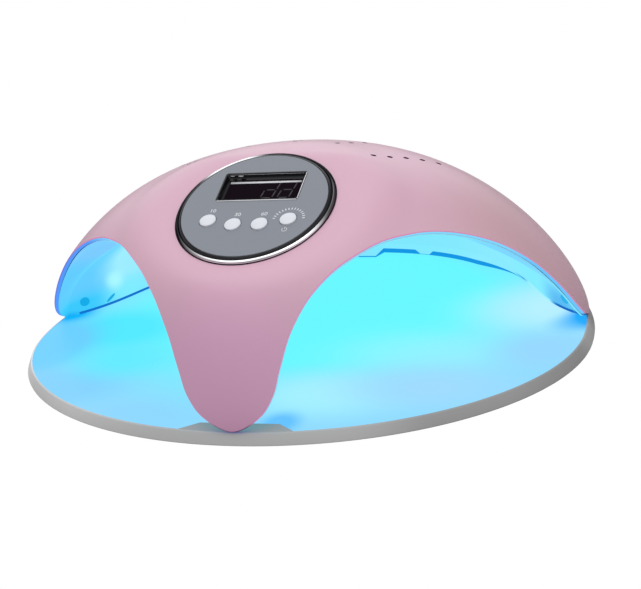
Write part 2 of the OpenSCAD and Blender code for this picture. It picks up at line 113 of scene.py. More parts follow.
# ---------------------------------------------------------------- surfaces
def smooth(t):
    c = np.clip(t, 0, 1)
    return c * c * (3 - 2 * c)


def plan_norm(d, n=PLAN_POWER):
    return (np.abs(d[..., 0]) ** n + np.abs(d[..., 1]) ** n) ** (1 / n)


def dome_point(d):
    """Point of the outer shell above a place d of the unit plan disc."""
    x, y = d[..., 0] * DOME_HALF[0], d[..., 1] * DOME_HALF[1]
    share = np.clip(1 - np.minimum(1, plan_norm(d)) ** SIDE_POWER, 0, 1) ** (1 / CROWN_POWER)
    z = deck_top + DOME_RISE * share
    reach = np.hypot(x, (y - foot_centre.y) / COS)
    # behind the ring the shell levels off
    seat = foot_centre.z + np.minimum(y - foot_centre.y, RING_RADIUS * COS) * TAN
    b = 1 - smooth((reach - RING_RADIUS) / BOSS_RUN)
    return np.stack([x, y, z + (seat - z) * b], -1)


def cavity_point(d):
    """Point of the liner's cavity above a place d of the unit plan disc."""
    r = plan_norm(d)
    w = r / np.maximum(1e-6, plan_norm(d, CAVITY_POWER))
    z = deck_top + CAVITY_RISE * np.sqrt(np.clip(1 - np.minimum(1, r) ** 4, 0, 1))
    return np.stack([d[..., 0] * w * CAVITY_HALF[0], d[..., 1] * w * CAVITY_HALF[1], z], -1)


def rim_curve(steps, rear):
    """Round the head's lower edge: [angle, height] at each column. A smooth curve through the knots
    on the right, then level to the middle of the back, and the same mirrored on the left."""
    k = RIM_KNOTS
    level_from = k[-2][0]
    right = []
    for i in range(1, len(k) - 2):
        for s in range(steps):
            t = s / steps
            a, b, c, d = k[i - 1], k[i], k[i + 1], k[i + 2]
            right.append(0.5 * (2 * b + (c - a) * t + (2 * a - 5 * b + 4 * c - d) * t * t
                                + (3 * b - a - 3 * c + d) * t ** 3))
    right += [np.array((level_from + (90 - level_from) * s / rear, FOOT_GAP)) for s in range(rear + 1)]
    left = [np.array((180 - p[0], p[1])) for p in right[-2:0:-1]]
    return np.array(right + left)


def edge_disc(rim):
    """Place of the rim on the unit plan disc."""
    a = np.radians(rim[:, 0])
    c = np.stack([np.cos(a), np.sin(a)], -1)
    share = (1 - (np.maximum(0, rim[:, 1]) / DOME_RISE) ** CROWN_POWER) ** (1 / SIDE_POWER)
    return c * (share / plan_norm(c))[:, None]


def hole_disc(start, radius):
    """Place on the unit plan disc of a circle round the panel, opposite each point of the rim."""
    p = start * DOME_HALF
    a = np.arctan2((p[:, 1] - foot_centre.y) / COS, p[:, 0])
    return np.stack([radius * np.cos(a), radius * np.sin(a) * COS + foot_centre.y], -1) / DOME_HALF


def columns_between(start, stop, surface, shares, inset, dense=160):
    """Columns of points from start to stop of the plan disc, spaced by shares of their length,
    the first one inset from the rim."""
    s = 1 - np.cos(np.linspace(0, np.pi / 2, dense))
    d = start[:, None] + (stop - start)[:, None] * s[None, :, None]
    p = surface(d)
    run = np.concatenate([np.zeros((len(p), 1)), np.cumsum(np.linalg.norm(np.diff(p, axis=1), axis=2), 1)], 1)
    out = np.empty((len(p), len(shares), 3))
    for i in range(len(p)):
        at = inset + (run[i, -1] - inset) * shares
        for c in range(3):
            out[i, :, c] = np.interp(at, run[i], p[i, :, c])
    return out


def normals_of(g):
    """Unit normals of a grid whose columns wrap round."""
    a = np.roll(g, -1, 0) - np.roll(g, 1, 0)
    b = np.gradient(g, axis=1)
    n = np.cross(a, b)
    return n / np.maximum(1e-12, np.linalg.norm(n, axis=2))[..., None]


# ---------------------------------------------------------------- mesh helpers
def new_object(name, verts, faces, materials, smooth_angle=40, marks=None):
    mesh = bpy.data.meshes.new(name)
    mesh.from_pydata([tuple(v) for v in verts], [], faces)
    for m in materials:
        mesh.materials.append(m)
    if marks is not None:
        mesh.polygons.foreach_set("material_index", marks)
    mesh.validate()
    mesh.update()
    obj = bpy.data.objects.new(name, mesh)
    bpy.context.scene.collection.objects.link(obj)
    mesh.shade_smooth()
    if smooth_angle:
        mesh.set_sharp_from_angle(angle=math.radians(smooth_angle))
    return obj


def loop_grid(g, marks, closed=False):
    """Faces of a grid of loops: g is [column, row, xyz] and the columns wrap round.
    A closed grid also joins its last row back to the first. marks gives each row's material."""
    n, m = g.shape[:2]
    faces, kinds = [], []
    for i in range(n):
        j = (i + 1) % n
        for k in range(m if closed else m - 1):
            b = (k + 1) % m
            faces.append((i * m + k, j * m + k, j * m + b, i * m + b))
            kinds.append(marks[k])
    return g.reshape(-1, 3), faces, kinds


def lathe(name, profile, matrix, material, steps, closed=False):
    """Profile of (radius, height) points turned about the local Z axis. Radius 0 closes a cap."""
    verts, rings = [], []
    for r, z in profile:
        if r < 1e-7:
            rings.append([len(verts)])
            verts.append((0, 0, z))
        else:
            rings.append(list(range(len(verts), len(verts) + steps)))
            verts += [(r * math.cos(2 * math.pi * k / steps), r * math.sin(2 * math.pi * k / steps), z)
                      for k in range(steps)]
    faces = []
    pairs = list(zip(rings, rings[1:]))
    if closed:
        pairs.append((rings[-1], rings[0]))
    for a, b in pairs:
        for k in range(steps):
            j = (k + 1) % steps
            if len(a) == 1 and len(b) == 1:
                continue
            if len(a) == 1:
                faces.append((a[0], b[j], b[k]))
            elif len(b) == 1:
                faces.append((a[k], a[j], b[0]))
            else:
                faces.append((a[k], a[j], b[j], b[k]))
    verts = [matrix @ Vector(v) for v in verts]
    obj = new_object(name, verts, faces, [material])
    fix_normals(obj)
    return obj


def fix_normals(obj):
    b = bmesh.new()
    b.from_mesh(obj.data)
    bmesh.ops.recalc_face_normals(b, faces=b.faces)
    b.to_mesh(obj.data)
    b.free()


def round_rect(w, h, r, steps=8):
    out = []
    for sx, sy, a0 in ((1, 1, 0), (-1, 1, 90), (-1, -1, 180), (1, -1, 270)):
        for k in range(steps + 1):
            a = math.radians(a0 + 90 * k / steps)
            out.append((sx * (w / 2 - r) + r * math.cos(a), sy * (h / 2 - r) + r * math.sin(a)))
    return out


def add_pin(cutters, radius, depth, matrix, segments):
    bmesh.ops.create_cone(cutters, cap_ends=True, segments=segments, radius1=radius, radius2=radius,
                          depth=depth, matrix=matrix)


def cut_out(obj, cutters, inside=None):
    """Take the cutters, a bmesh, out of an object. The cut walls get the inside material if one is given."""
    mesh = bpy.data.meshes.new("cutters")
    cutters.to_mesh(mesh)
    cutters.free()
    cutter = bpy.data.objects.new("cutters", mesh)
    bpy.context.scene.collection.objects.link(cutter)
    mod = obj.modifiers.new("holes", "BOOLEAN")
    mod.operation = "DIFFERENCE"
    mod.solver = "EXACT"
    mod.object = cutter
    if inside is not None:
        mesh.materials.append(inside)
        mod.material_mode = "TRANSFER"
    bpy.context.view_layer.update()
    depsgraph = bpy.context.evaluated_depsgraph_get()
    cut = bpy.data.meshes.new_from_object(obj.evaluated_get(depsgraph))
    obj.modifiers.clear()
    obj.data = cut
    bpy.data.objects.remove(cutter)


# ---------------------------------------------------------------- materials
DRIFT_SCALE, GRAIN_DEPTH = 14.0, 0.0002
ROUGH_SPREAD, ROUGH_LEAST = 0.04, 0.02


def material(name, color, rough, metal=0.0, coat=0.0, coat_rough=0.1, vary=0.03, grain=900.0, bump=0.02,
             emission=None, strength=0.0, specular=0.5):
    """Finish whose colour drifts slowly by the share vary, with a fine grain in its roughness and height."""
    m = bpy.data.materials.new(name)
    m.use_nodes = True
    nt = m.node_tree
    b = nt.nodes["Principled BSDF"]
    b.inputs["Metallic"].default_value = metal
    b.inputs["Coat Weight"].default_value = coat
    b.inputs["Coat Roughness"].default_value = coat_rough
    b.inputs["Specular IOR Level"].default_value = specular
    place = nt.nodes.new("ShaderNodeTexCoord")
    big = nt.nodes.new("ShaderNodeTexNoise")
    big.inputs["Scale"].default_value = DRIFT_SCALE
    big.inputs["Detail"].default_value = 3.0
    nt.links.new(place.outputs["Object"], big.inputs["Vector"])
    mix = nt.nodes.new("ShaderNodeMix")
    mix.data_type = "RGBA"
    dark = [c * (1 - vary) for c in color]
    light = [min(1, c * (1 + vary)) for c in color]
    mix.inputs["A"].default_value = (*dark, 1)
    mix.inputs["B"].default_value = (*light, 1)
    nt.links.new(big.outputs["Fac"], mix.inputs["Factor"])
    nt.links.new(mix.outputs["Result"], b.inputs["Base Color"])
    fine = nt.nodes.new("ShaderNodeTexNoise")
    fine.inputs["Scale"].default_value = grain
    fine.inputs["Detail"].default_value = 2.0
    nt.links.new(place.outputs["Object"], fine.inputs["Vector"])
    spread = nt.nodes.new("ShaderNodeMapRange")
    spread.inputs["To Min"].default_value = max(ROUGH_LEAST, rough - ROUGH_SPREAD)
    spread.inputs["To Max"].default_value = rough + ROUGH_SPREAD
    nt.links.new(fine.outputs["Fac"], spread.inputs["Value"])
    nt.links.new(spread.outputs["Result"], b.inputs["Roughness"])
    if bump:
        bm = nt.nodes.new("ShaderNodeBump")
        bm.inputs["Strength"].default_value = bump
        bm.inputs["Distance"].default_value = GRAIN_DEPTH
        nt.links.new(fine.outputs["Fac"], bm.inputs["Height"])
        nt.links.new(bm.outputs["Normal"], b.inputs["Normal"])
    if emission:
        b.inputs["Emission Color"].default_value = (*emission, 1)
        b.inputs["Emission Strength"].default_value = strength
    return m


def blended(nt, base_color, blobs):
    """Socket of a base colour with soft blobs (centre, radii, colour, weight) laid over it."""
    place = nt.nodes.new("ShaderNodeTexCoord")
    last = nt.nodes.new("ShaderNodeRGB")
    last.outputs[0].default_value = (*base_color, 1)
    out = last.outputs[0]
    for centre, radii, color, weight in blobs:
        shift = nt.nodes.new("ShaderNodeVectorMath")
        shift.operation = "SUBTRACT"
        shift.inputs[1].default_value = centre
        nt.links.new(place.outputs["Object"], shift.inputs[0])
        size = nt.nodes.new("ShaderNodeVectorMath")
        size.operation = "DIVIDE"
        size.inputs[1].default_value = radii
        nt.links.new(shift.outputs[0], size.inputs[0])
        far = nt.nodes.new("ShaderNodeVectorMath")
        far.operation = "LENGTH"
        nt.links.new(size.outputs[0], far.inputs[0])
        fall = nt.nodes.new("ShaderNodeMapRange")
        fall.interpolation_type = "SMOOTHERSTEP"
        fall.inputs["From Min"].default_value = 1.0
        fall.inputs["From Max"].default_value = 0.0
        fall.inputs["To Min"].default_value = 0.0
        fall.inputs["To Max"].default_value = weight
        nt.links.new(far.outputs["Value"], fall.inputs["Value"])
        mix = nt.nodes.new("ShaderNodeMix")
        mix.data_type = "RGBA"
        nt.links.new(fall.outputs["Result"], mix.inputs["Factor"])
        nt.links.new(out, mix.inputs["A"])
        mix.inputs["B"].default_value = (*color, 1)
        out = mix.outputs["Result"]
    return out


def shader(m):
    return m.node_tree.nodes["Principled BSDF"]


def toned(m, base_color, blobs):
    """Let a material's colour vary over the object: painted light and shade."""
    m.node_tree.links.new(blended(m.node_tree, base_color, blobs), shader(m).inputs["Base Color"])


def glow(name, base, base_color, blobs, strength):
    """Lit surface: its glow varies from place to place."""
    m = material(name, base, rough=0.45, vary=0.0, bump=0.01, specular=0.08)
    nt = m.node_tree
    b = shader(m)
    for link in list(b.inputs["Base Color"].links):
        nt.links.remove(link)
    b.inputs["Base Color"].default_value = (*base, 1)
    nt.links.new(blended(nt, base_color, blobs), b.inputs["Emission Color"])
    b.inputs["Emission Strength"].default_value = strength
    return m


def srgb(*levels):
    """Linear colour of three display levels, 0 to 255."""
    shares = [level / 255 for level in levels]
    return tuple(c / 12.92 if c <= 0.04045 else ((c + 0.055) / 1.055) ** 2.4 for c in shares)


# Blobs are (centre, radii, colour, weight), in metres.
pink = material("shell_pink", (0.55, 0.31, 0.41), 0.42, coat=0.35, coat_rough=0.3, vary=0.012, bump=0.003,
                specular=0.7)
shader(pink).inputs["Sheen Weight"].default_value = 0.16
shader(pink).inputs["Sheen Roughness"].default_value = 0.3
# painted shade: the pink deepens down the front foot and warms on the right; painted highlight: it pales a
# little at the rear ends
toned(pink, (0.545, 0.312, 0.408), [
    ((0.0, -0.125, 0.02), (0.10, 0.07, 0.11), (0.575, 0.292, 0.46), 1.5),
    ((0.15, 0.0, 0.06), (0.10, 0.12, 0.09), (0.54, 0.325, 0.378), 1.2),
    ((0.166, 0.050, 0.034), (0.07, 0.08, 0.10), (0.68, 0.40, 0.515), 0.6),
    ((-0.166, 0.050, 0.034), (0.07, 0.08, 0.10), (0.68, 0.40, 0.515), 0.6)])
# painted light: the shell's rolled edge glows pink, with painted blue light on the left, a painted highlight,
# and painted shade at the front foot and the right tip
edge_painted_glow = glow("shell_edge_painted_glow", (0.25, 0.12, 0.19), srgb(214, 134, 172), [
    ((-0.162, -0.03, 0.02), (0.055, 0.09, 0.11), srgb(60, 100, 215), 1.8),
    ((-0.14, -0.075, 0.075), (0.03, 0.03, 0.03), srgb(250, 205, 215), 1.2),
    ((0.0, -0.13, 0.006), (0.034, 0.03, 0.012), srgb(40, 14, 60), 2.2),
    ((0.174, 0.014, 0.007), (0.010, 0.018, 0.009), srgb(30, 30, 60), 2.4),
], strength=0.72)
# painted light: just inside the edge the shell glows blue, deeper blue on the left and at the front, with
# painted shade at the right tip
inside_painted_glow = glow("shell_inside_painted_glow", (0.01, 0.03, 0.06), srgb(126, 214, 250), [
    ((-0.15, -0.03, 0.03), (0.09, 0.12, 0.13), srgb(82, 150, 250), 2.0),
    ((0.155, -0.005, 0.03), (0.05, 0.07, 0.055), srgb(104, 196, 250), 1.5),
    ((0.0, -0.13, 0.008), (0.04, 0.04, 0.03), srgb(80, 90, 220), 1.4),
    ((0.174, 0.014, 0.007), (0.010, 0.018, 0.009), srgb(14, 90, 160), 2.4),
], strength=0.98)
# painted shade: the back of the shell and the walls of its vents and jack bore are near black
shell_painted_shade = material("shell_back_painted_shade", (0.04, 0.008, 0.014), 0.7, vary=0.05, specular=0.2)
grey = material("tray_grey", (0.40, 0.40, 0.40), 0.5, vary=0.02, bump=0.04, grain=1400)
# painted light and shade: the tray is lighter on the left and darker on the right
toned(grey, (0.385, 0.385, 0.385), [
    ((-0.15, -0.08, 0.0), (0.14, 0.12, 0.1), (0.50, 0.50, 0.50), 1.2),
    ((0.175, -0.03, 0.0), (0.14, 0.12, 0.1), (0.245, 0.245, 0.245), 1.4),
    ((0.12, -0.09, 0.0), (0.09, 0.06, 0.1), (0.27, 0.27, 0.27), 1.2),
    ((0.182, -0.005, 0.0), (0.03, 0.03, 0.1), (0.34, 0.34, 0.34), 1.2),
    ((-0.18, -0.03, 0.0), (0.06, 0.07, 0.1), (0.68, 0.68, 0.68), 1.4)])
# painted shade: the land is a darker, warmer copy of the tray's grey, for the shade under the front foot
land_grey = material("land_grey", (0.37, 0.305, 0.29), 0.5, vary=0.02, bump=0.04, grain=1400)
# painted light: the deck glows cyan though it is no lamp, paler in places and deeper blue towards its ends
DECK = [
    ((0.0, 0.03, deck_top), (0.23, 0.17, 0.1), srgb(104, 245, 252), 1.7),
    ((0.155, 0.025, deck_top), (0.09, 0.06, 0.1), srgb(184, 238, 252), 1.0),
    ((0.09, -0.035, deck_top), (0.10, 0.05, 0.1), srgb(158, 240, 252), 0.6),
    ((0.04, -0.085, deck_top), (0.08, 0.045, 0.1), srgb(166, 238, 249), 1.0),
    ((0.10, -0.075, deck_top), (0.09, 0.045, 0.1), srgb(158, 215, 252), 1.0),
    ((0.155, -0.03, deck_top), (0.05, 0.045, 0.1), srgb(150, 212, 252), 1.0),
    ((0.166, 0.004, deck_top), (0.022, 0.02, 0.1), srgb(118, 200, 253), 1.0),
    ((0.178, 0.014, deck_top), (0.026, 0.026, 0.1), srgb(30, 168, 253), 1.6),
    ((-0.125, -0.005, deck_top), (0.07, 0.05, 0.1), srgb(80, 230, 252), 1.2),
    ((-0.168, -0.03, deck_top), (0.055, 0.065, 0.1), srgb(106, 204, 253), 1.8),
    ((-0.176, 0.02, deck_top), (0.034, 0.024, 0.1), srgb(5, 178, 249), 1.6),
    ((-0.135, -0.08, deck_top), (0.075, 0.045, 0.1), srgb(128, 206, 253), 1.2),
    ((-0.07, -0.118, deck_top), (0.06, 0.035, 0.1), srgb(140, 211, 252), 1.4),
    ((0.024, -0.118, deck_top), (0.02, 0.02, 0.1), srgb(100, 190, 250), 1.2),
    ((-0.105, -0.045, deck_top), (0.06, 0.04, 0.1), srgb(94, 232, 252), 0.9),
]
deck_glow = glow("deck_glow", (0.012, 0.03, 0.04), srgb(142, 214, 253), DECK, strength=0.98)
# painted light: the liner glows cyan, with a painted highlight streak on the left and painted shade at its
# low ends
liner_glow = glow("liner_glow", (0.012, 0.03, 0.04), srgb(128, 230, 250), [
    ((0.10, 0.085, 0.012), (0.10, 0.04, 0.03), srgb(138, 232, 250), 1.0),
    ((0.13, 0.0, 0.05), (0.06, 0.10, 0.05), srgb(122, 206, 250), 1.0),
    ((0.154, 0.022, 0.010), (0.024, 0.034, 0.022), srgb(84, 180, 238), 1.0),
    ((-0.145, -0.02, 0.05), (0.07, 0.12, 0.09), srgb(98, 202, 252), 1.8),
    ((-0.127, -0.02, 0.075), (0.07, 0.07, 0.035), srgb(124, 200, 254), 1.5),
    ((-0.158, 0.018, 0.008), (0.05, 0.05, 0.022), srgb(58, 200, 250), 1.4),
    ((-0.128, 0.042, 0.036), (0.042, 0.036, 0.036), srgb(158, 235, 254), 1.3),
    ((-0.1395, 0.043, 0.012), (0.03, 0.03, 0.02), srgb(128, 236, 254), 0.9),
    ((-0.1425, 0.034, 0.024), (0.008, 0.014, 0.013), srgb(178, 252, 255), 0.8),
    ((-0.167, 0.010, 0.006), (0.014, 0.014, 0.007), srgb(10, 168, 244), 1.3),
    ((0.166, 0.014, 0.006), (0.014, 0.016, 0.0045), srgb(14, 110, 190), 2.2),
], strength=0.98)
# painted shadow: the gap under the liner's foot and the rear step's recess glow dark blue, with a lighter
# spot near the right end
gap_painted_shade = glow("gap_painted_shade", (0.005, 0.02, 0.05), srgb(14, 146, 224), [
    ((-0.12, 0.03, 0.007), (0.09, 0.09, 0.02), srgb(8, 108, 202), 1.8),
    ((0.137, 0.045, 0.007), (0.026, 0.032, 0.02), srgb(160, 240, 252), 2.2),
    ((0.158, 0.018, 0.007), (0.016, 0.022, 0.02), srgb(8, 96, 190), 1.8),
], strength=0.98)
chrome = material("ring_chrome", (0.80, 0.81, 0.83), 0.08, metal=1.0, vary=0.01, bump=0.0)
# painted reflections: dark chrome at the sides, bright at the front and at the upper left
toned(chrome, (0.03, 0.031, 0.035), [
    ((0.016, -0.085, 0.093), (0.066, 0.062, 0.035), (0.95, 0.95, 0.97), 1.9),
    ((-0.026, -0.006, 0.118), (0.026, 0.026, 0.02), (0.85, 0.86, 0.88), 1.6),
    ((0.046, -0.035, 0.108), (0.010, 0.03, 0.03), (0.16, 0.16, 0.17), 1.0)])
shader(chrome).inputs["Specular Tint"].default_value = (0.3, 0.3, 0.32, 1)
plate_grey = material("panel_grey", (0.176, 0.192, 0.226), 0.5, vary=0.02, bump=0.03, grain=1600)
black = material("display_black", (0.004, 0.004, 0.006), 0.12, vary=0.05, bump=0.01, specular=0.22)
smoke = material("window_smoke", (0.008, 0.005, 0.008), 0.3, vary=0.1, bump=0.0, specular=0.0)
ledge_grey = material("ledge_grey", (0.66, 0.67, 0.70), 0.35, vary=0.05, bump=0.02)
# painted reflections: the dim grey of the display's glints and the bright grey of its rim highlights
glint_paint = material("glint_paint", (0.30, 0.31, 0.34), 0.3, vary=0.05, bump=0.02)
rim_highlight_paint = material("rim_highlight_paint", (0.75, 0.76, 0.78), 0.3, vary=0.03, bump=0.0)
segment = material("segment_faint", (0.038, 0.036, 0.042), 0.4, vary=0.05, bump=0.0, specular=0.2)
white = material("button_white", (0.60, 0.62, 0.67), 0.4, coat=0.1, vary=0.01, bump=0.02)
print_ink = material("print_ink", (0.62, 0.64, 0.67), 0.5, vary=0.03, bump=0.0)
rubber = material("foot_rubber", (0.03, 0.03, 0.032), 0.75, vary=0.1, bump=0.2, grain=600)
board_green = material("board_green", (0.02, 0.13, 0.06), 0.35, vary=0.15, bump=0.1)
board_white = material("board_white", (0.75, 0.75, 0.73), 0.4, vary=0.04)
part_black = material("part_black", (0.02, 0.02, 0.022), 0.5, vary=0.1, bump=0.1)
lead_red = material("lead_red", (0.45, 0.03, 0.03), 0.45, vary=0.08)
steel = material("magnet_steel", (0.55, 0.55, 0.57), 0.25, metal=1.0, vary=0.05)
lens = material("lens_clear", (0.35, 0.6, 0.8), 0.1, coat=0.5, emission=srgb(150, 235, 255), strength=0.8)
# painted light: the dark sensor windows and the liner's slit glow blue though they are no lamp
sensor = material("sensor_dark", (0.003, 0.02, 0.04), 0.3, emission=srgb(20, 172, 232), strength=0.95,
                  specular=0.1)
white_inside = material("liner_back", (0.7, 0.72, 0.74), 0.4, vary=0.03)

# the CAD nodes that keep their shape get a finish by their whole name, or by a part of it
FINISH_OF_NODE = {
    "base_feet": rubber, "foot_plate": grey, "display_window": smoke, "display_module": part_black,
    "board_chips": part_black, "tact_switches": part_black, "control_board": board_green,
    "jack_board": board_green, "board_screws": steel, "jack_lead": lead_red, "dc_jack": part_black,
    "jack_collar": part_black}
FINISH_OF_PART = {
    "magnets": steel, "led_lenses": lens, "led_boards": board_white, "led_leads": lead_red,
    "sensor_window": sensor, "sensor_board": board_green, "plunger": part_black}
for name, node in frame["nodes"].items():
    chosen = FINISH_OF_NODE.get(name)
    if chosen is None:
        for key, finish in FINISH_OF_PART.items():
            if key in name:
                chosen = finish
    if chosen is not None:
        node.data.materials.clear()
        node.data.materials.append(chosen)


def done(obj, body, slot, *nodes):
    """Say which body a piece rides on and the CAD nodes it stands for. The slot is not used."""
    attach(obj, body)
    if nodes:
        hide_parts(*nodes)
    return obj


# ---------------------------------------------------------------- outer shell
RIM_STEPS, REAR_STEPS = 8, 60
SHELL_ROWS, ROW_CROWDING = 56, 1.15
ROLL = 0.0007
INNER_ROLL = ROLL * 0.6
VENT_CUT_DEPTH, VENT_CUT_HEIGHT = 0.06, 0.11
JACK_BORE, JACK_BORE_DEPTH, JACK_BORE_SHIFT = 0.0066, 0.03, 0.005
rim = rim_curve(RIM_STEPS, REAR_STEPS)
start = edge_disc(rim)
shares = np.linspace(0, 1, SHELL_ROWS) ** ROW_CROWDING
outer = columns_between(start, hole_disc(start, HOLE_RADIUS), dome_point, shares, ROLL)
n_out = normals_of(outer)
tangent = outer[:, 0] - outer[:, 1]
tangent /= np.linalg.norm(tangent, axis=1)[:, None]
edge_n = n_out[:, 0]
inner = outer - SHELL_WALL * n_out
inner[..., 2] = np.maximum(inner[..., 2], foot_z)
# the edge turns round, with a larger radius outside and a smaller one inside
outer_centre = outer[:, 0] - ROLL * edge_n
inner_centre = outer[:, 0] - (SHELL_WALL - INNER_ROLL) * edge_n
roll = []
for a in (80, 60, 40, 20, 0):
    up, away = math.sin(math.radians(a)), math.cos(math.radians(a))
    roll.append(outer_centre + ROLL * (up * edge_n + away * tangent))
for a in (0, -45, -90):
    up, away = math.sin(math.radians(a)), math.cos(math.radians(a))
    roll.append(inner_centre + INNER_ROLL * (up * edge_n) + ROLL * away * tangent)
roll = np.stack(roll, 1)
roll[..., 2] = np.maximum(roll[..., 2], foot_z)
ring_rows = np.concatenate([outer[:, ::-1], roll, inner[:, 1:]], 1)
# pink outside, the rolled edge with its painted glow, lit just inside the edge, painted shade behind, and
# pink at the ring's hole
marks = [0] * (SHELL_ROWS - 1) + [1] * 5 + [2] * 6 + [3] * (SHELL_ROWS - 4) + [0]
verts, faces, kinds = loop_grid(ring_rows, marks, closed=True)
shell = new_object("outer_shell_skin", verts, faces, [pink, edge_painted_glow, inside_painted_glow, shell_painted_shade], 50, kinds)
fix_normals(shell)
cutters = bmesh.new()
for a, b in zip(VENT_STARTS, VENT_AIMS):
    v = (b - a) / np.linalg.norm(b - a)
    for k in range(VENTS_PER_ROW):
        p = a + v * VENT_PITCH * k
        at = Matrix.Translation((p[0], p[1], VENT_CUT_HEIGHT))
        add_pin(cutters, VENT_RADIUS, VENT_CUT_DEPTH, at, 28)
jack_mid = middle("jack_collar")
at = Matrix.Translation((0, jack_mid.y + JACK_BORE_SHIFT, jack_mid.z)) @ Matrix.Rotation(math.pi / 2, 4, "X")
add_pin(cutters, JACK_BORE, JACK_BORE_DEPTH, at, 48)
cut_out(shell, cutters, shell_painted_shade)
done(shell, "head", "shell_pink", "outer_shell")

# ---------------------------------------------------------------- inner liner
LINER_ROWS, LINER_REACH = 44, 0.985
REAR_HALF_ANGLE, REAR_FADE = 84, 10
axis_disc = np.array([0, foot_centre.y / DOME_HALF[1]])


def liner_grid():
    """Face of the liner. Along the hand openings its edge keeps to the shell, elsewhere it is the cavity."""
    s = 1 - np.cos(np.linspace(0, LINER_REACH, LINER_ROWS) * np.pi / 2)
    d = start[:, None] + (axis_disc - start)[:, None] * s[None, :, None]
    run = np.linalg.norm((d - start[:, None]) * DOME_HALF, axis=2)
    stay = np.exp(-np.maximum(0, REAR_HALF_ANGLE - np.abs(90 - rim[:, 0])) / REAR_FADE)[:, None]
    w = 1 - (1 - smooth(run / LIP_RUN)) * stay
    inset = (SHELL_WALL + RIM_GAP + LINER_SKIN) * (1 - smooth(run / LIP_RUN))
    near = dome_point(d) - inset[..., None] * edge_n[:, None]
    far = cavity_point(d)
    grid = near + (far - near) * w[..., None]
    grid[..., 2] = np.maximum(grid[..., 2], foot_z)
    return grid


g = liner_grid()
n_in = normals_of(g)
back = g + LINER_SKIN * n_in
back[..., 2] = np.maximum(back[..., 2], foot_z)
both = np.concatenate([g[:, ::-1], back], 1)
verts, faces, kinds = loop_grid(both, [0] * LINER_ROWS + [1] * (LINER_ROWS - 1))
verts = np.concatenate([verts, [g[:, -1].mean(0), back[:, -1].mean(0)]])
n, m = both.shape[:2]
for i in range(n):
    j = (i + 1) % n
    faces += [(i * m, len(verts) - 2, j * m), (j * m + m - 1, len(verts) - 1, i * m + m - 1)]
    kinds += [0, 1]
liner = new_object("inner_liner_skin", verts, faces, [liner_glow, white_inside], 50, kinds)
fix_normals(liner)
done(liner, "head", "liner_glow", "inner_liner")

# painted shadow: a dark blue strip just inside the liner's foot along the rear, for the shade of the gap
# under the liner
REAR_FROM, REAR_TO = 7, 173
GAP_INSIDE, GAP_OUTSIDE, GAP_FLOOR = 0.0003, 0.0002, 0.0001
GAP_HEIGHT, GAP_GROWTH, GROWTH_FROM, GROWTH_RUN = 0.0009, 0.0008, 0.115, 0.02
inside = g[:, 0] - GAP_INSIDE * n_in[:, 0]
outside = g[:, 0] + GAP_OUTSIDE * n_in[:, 0]
rear = [i for i in range(len(rim)) if REAR_FROM < rim[i, 0] < REAR_TO]
low_row, high_row, outer_row = [], [], []
for i in rear:
    x, y = inside[i, 0], inside[i, 1]
    tall = GAP_HEIGHT + GAP_GROWTH * float(smooth((abs(x) - GROWTH_FROM) / GROWTH_RUN))
    low_row.append((x, y, foot_z))
    high_row.append((x, y, foot_z + tall))
    outer_row.append((outside[i, 0], outside[i, 1], foot_z + GAP_FLOOR))
n = len(rear)
faces = []
for k in (0, n):
    faces += [(k + i, k + i + 1, k + n + i + 1, k + n + i) for i in range(n - 1)]
strip = new_object("liner_foot_painted_shadow", low_row + high_row + outer_row, faces, [gap_painted_shade], 0)
fix_normals(strip)
done(strip, "head", "liner_glow")

# along the rear the foot steps inwards over a recess with painted shade, with a block in the middle
STEP_END, STEP_BEHIND, STEP_FLOOR, STEP_LIP = 0.124, -0.0004, 0.0001, 0.0001
STEP_OUT, STEP_OUT_LEAST, STEP_OUT_RUN = 0.0068, 0.0002, 0.034
STEP_TALL, STEP_TALL_LEAST, STEP_TALL_RUN = 0.0028, 0.0004, 0.03
BLOCK_HALF, BLOCK_OUT, BLOCK_TALL, BLOCK_RECESS = 0.0185, 0.0143, 0.026, 0.0009
BREAK_FROM, BREAK_TO, BREAK_RECESS = 0.047, 0.057, 0.0004
rows = [[], [], [], [], []]
for i in rear:
    x = abs(inside[i, 0])
    if x > STEP_END:
        continue
    into = -n_in[i, 0] * (1, 1, 0)
    into /= np.linalg.norm(into)
    if x < BLOCK_HALF:
        out, top, recess = BLOCK_OUT, BLOCK_TALL, BLOCK_RECESS
    else:
        out = STEP_OUT_LEAST + STEP_OUT * float(smooth((STEP_END - x) / STEP_OUT_RUN))
        top = STEP_TALL_LEAST + STEP_TALL * float(smooth((STEP_END - x) / STEP_TALL_RUN))
        recess = BREAK_RECESS if BREAK_FROM < x < BREAK_TO else top - STEP_LIP
    wall = inside[i] * (1, 1, 0)
    section = [(STEP_BEHIND, top), (out, top), (out, recess), (out, STEP_FLOOR), (STEP_BEHIND, STEP_FLOOR)]
    for row, (reach, z) in zip(rows, section):
        p = wall + into * reach
        row.append((p[0], p[1], foot_z + z))
n = len(rows[0])
faces, kinds = [], []
for k in range(5):
    a, b = k * n, (k + 1) % 5 * n
    faces += [(a + i, a + i + 1, b + i + 1, b + i) for i in range(n - 1)]
    kinds += [1 if k in (2, 3) else 0] * (n - 1)
faces += [tuple(k * n for k in range(5)), tuple(k * n + n - 1 for k in range(5))]
kinds += [0, 0]
step = new_object("liner_rear_step", np.array(sum(rows, [])), faces, [liner_glow, gap_painted_shade], 40, kinds)
fix_normals(step)
done(step, "head", "liner_glow")

